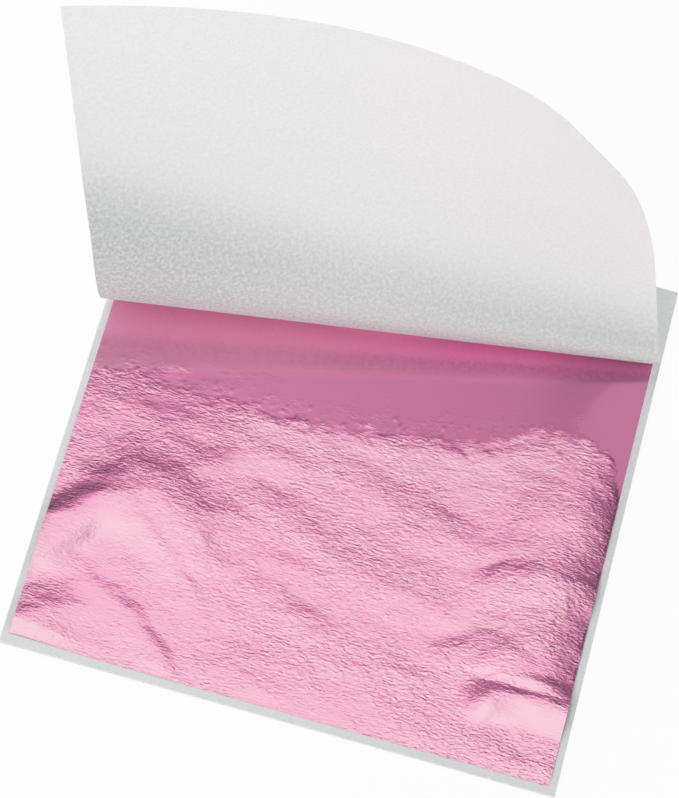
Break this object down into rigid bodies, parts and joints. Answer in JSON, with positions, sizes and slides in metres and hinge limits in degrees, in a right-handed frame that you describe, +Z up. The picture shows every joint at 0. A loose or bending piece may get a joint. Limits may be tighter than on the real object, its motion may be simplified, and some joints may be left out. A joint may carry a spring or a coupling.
{
  "type": "gold leaf booklet",
  "caption": "Booklet of beaten metal leaf between tissue sheets, glued at the back edge, with its top page turned back and curled over the first leaf.",
  "frame": {"origin": "middle of the base sheet's underside", "axes": "+X right along the front edge, +Y back to the glued spine edge, +Z up out of the leaf"},
  "size_m": [0.0978, 0.0858, 0.0664],
  "materials": {
    "tissue_paper": "matt, slightly translucent glassine-like tissue",
    "metal_leaf": "mirror-bright pink leaf with fine crinkles",
    "padding_adhesive": "dried white padding compound"
  },
  "bodies": {
    "base": {"base_sheet": "tissue_paper", "spine_adhesive": "padding_adhesive"},
    "top_page": {"top_page": "tissue_paper"},
    "interleaf_page_02": {"interleaf_page_02": "tissue_paper"},
    "interleaf_page_03": {"interleaf_page_03": "tissue_paper"},
    "interleaf_page_04": {"interleaf_page_04": "tissue_paper"},
    "interleaf_page_05": {"interleaf_page_05": "tissue_paper"},
    "interleaf_page_06": {"interleaf_page_06": "tissue_paper"},
    "interleaf_page_07": {"interleaf_page_07": "tissue_paper"},
    "interleaf_page_08": {"interleaf_page_08": "tissue_paper"},
    "interleaf_page_09": {"interleaf_page_09": "tissue_paper"},
    "interleaf_page_10": {"interleaf_page_10": "tissue_paper"},
    "metal_leaf_01": {"metal_leaf_01": "metal_leaf"},
    "metal_leaf_02": {"metal_leaf_02": "metal_leaf"},
    "metal_leaf_03": {"metal_leaf_03": "metal_leaf"},
    "metal_leaf_04": {"metal_leaf_04": "metal_leaf"},
    "metal_leaf_05": {"metal_leaf_05": "metal_leaf"},
    "metal_leaf_06": {"metal_leaf_06": "metal_leaf"},
    "metal_leaf_07": {"metal_leaf_07": "metal_leaf"},
    "metal_leaf_08": {"metal_leaf_08": "metal_leaf"},
    "metal_leaf_09": {"metal_leaf_09": "metal_leaf"},
    "metal_leaf_10": {"metal_leaf_10": "metal_leaf"}
  },
  "joints": [
    {"name": "top_page_hinge", "type": "hinge", "parent": "interleaf_page_02", "child": "top_page", "pos_m": [0, 0.0428, 0.00054], "axis": [-1, 0, 0], "range_deg": [0, 50]},
    {"name": "page_02_hinge", "type": "hinge", "parent": "interleaf_page_03", "child": "interleaf_page_02", "pos_m": [0, 0.0428, 0.00054], "axis": [-1, 0, 0], "range_deg": [0, 5]},
    {"name": "page_03_hinge", "type": "hinge", "parent": "interleaf_page_04", "child": "interleaf_page_03", "pos_m": [0, 0.0428, 0.00054], "axis": [-1, 0, 0], "range_deg": [0, 5]},
    {"name": "page_04_hinge", "type": "hinge", "parent": "interleaf_page_05", "child": "interleaf_page_04", "pos_m": [0, 0.0428, 0.00054], "axis": [-1, 0, 0], "range_deg": [0, 5]},
    {"name": "page_05_hinge", "type": "hinge", "parent": "interleaf_page_06", "child": "interleaf_page_05", "pos_m": [0, 0.0428, 0.00054], "axis": [-1, 0, 0], "range_deg": [0, 5]},
    {"name": "page_06_hinge", "type": "hinge", "parent": "interleaf_page_07", "child": "interleaf_page_06", "pos_m": [0, 0.0428, 0.00054], "axis": [-1, 0, 0], "range_deg": [0, 5]},
    {"name": "page_07_hinge", "type": "hinge", "parent": "interleaf_page_08", "child": "interleaf_page_07", "pos_m": [0, 0.0428, 0.00054], "axis": [-1, 0, 0], "range_deg": [0, 5]},
    {"name": "page_08_hinge", "type": "hinge", "parent": "interleaf_page_09", "child": "interleaf_page_08", "pos_m": [0, 0.0428, 0.00054], "axis": [-1, 0, 0], "range_deg": [0, 5]},
    {"name": "page_09_hinge", "type": "hinge", "parent": "interleaf_page_10", "child": "interleaf_page_09", "pos_m": [0, 0.0428, 0.00054], "axis": [-1, 0, 0], "range_deg": [0, 5]},
    {"name": "page_10_hinge", "type": "hinge", "parent": "base", "child": "interleaf_page_10", "pos_m": [0, 0.0428, 0.00054], "axis": [-1, 0, 0], "range_deg": [0, 5]},
    {"name": "leaf_01_slide", "type": "slide", "parent": "interleaf_page_02", "child": "metal_leaf_01", "axis": [0, -1, 0], "range_m": [0, 0.085]},
    {"name": "leaf_02_slide", "type": "slide", "parent": "interleaf_page_03", "child": "metal_leaf_02", "axis": [0, -1, 0], "range_m": [0, 0.085]},
    {"name": "leaf_03_slide", "type": "slide", "parent": "interleaf_page_04", "child": "metal_leaf_03", "axis": [0, -1, 0], "range_m": [0, 0.085]},
    {"name": "leaf_04_slide", "type": "slide", "parent": "interleaf_page_05", "child": "metal_leaf_04", "axis": [0, -1, 0], "range_m": [0, 0.085]},
    {"name": "leaf_05_slide", "type": "slide", "parent": "interleaf_page_06", "child": "metal_leaf_05", "axis": [0, -1, 0], "range_m": [0, 0.085]},
    {"name": "leaf_06_slide", "type": "slide", "parent": "interleaf_page_07", "child": "metal_leaf_06", "axis": [0, -1, 0], "range_m": [0, 0.085]},
    {"name": "leaf_07_slide", "type": "slide", "parent": "interleaf_page_08", "child": "metal_leaf_07", "axis": [0, -1, 0], "range_m": [0, 0.085]},
    {"name": "leaf_08_slide", "type": "slide", "parent": "interleaf_page_09", "child": "metal_leaf_08", "axis": [0, -1, 0], "range_m": [0, 0.085]},
    {"name": "leaf_09_slide", "type": "slide", "parent": "interleaf_page_10", "child": "metal_leaf_09", "axis": [0, -1, 0], "range_m": [0, 0.085]},
    {"name": "leaf_10_slide", "type": "slide", "parent": "base", "child": "metal_leaf_10", "axis": [0, -1, 0], "range_m": [0, 0.085]}
  ]
}
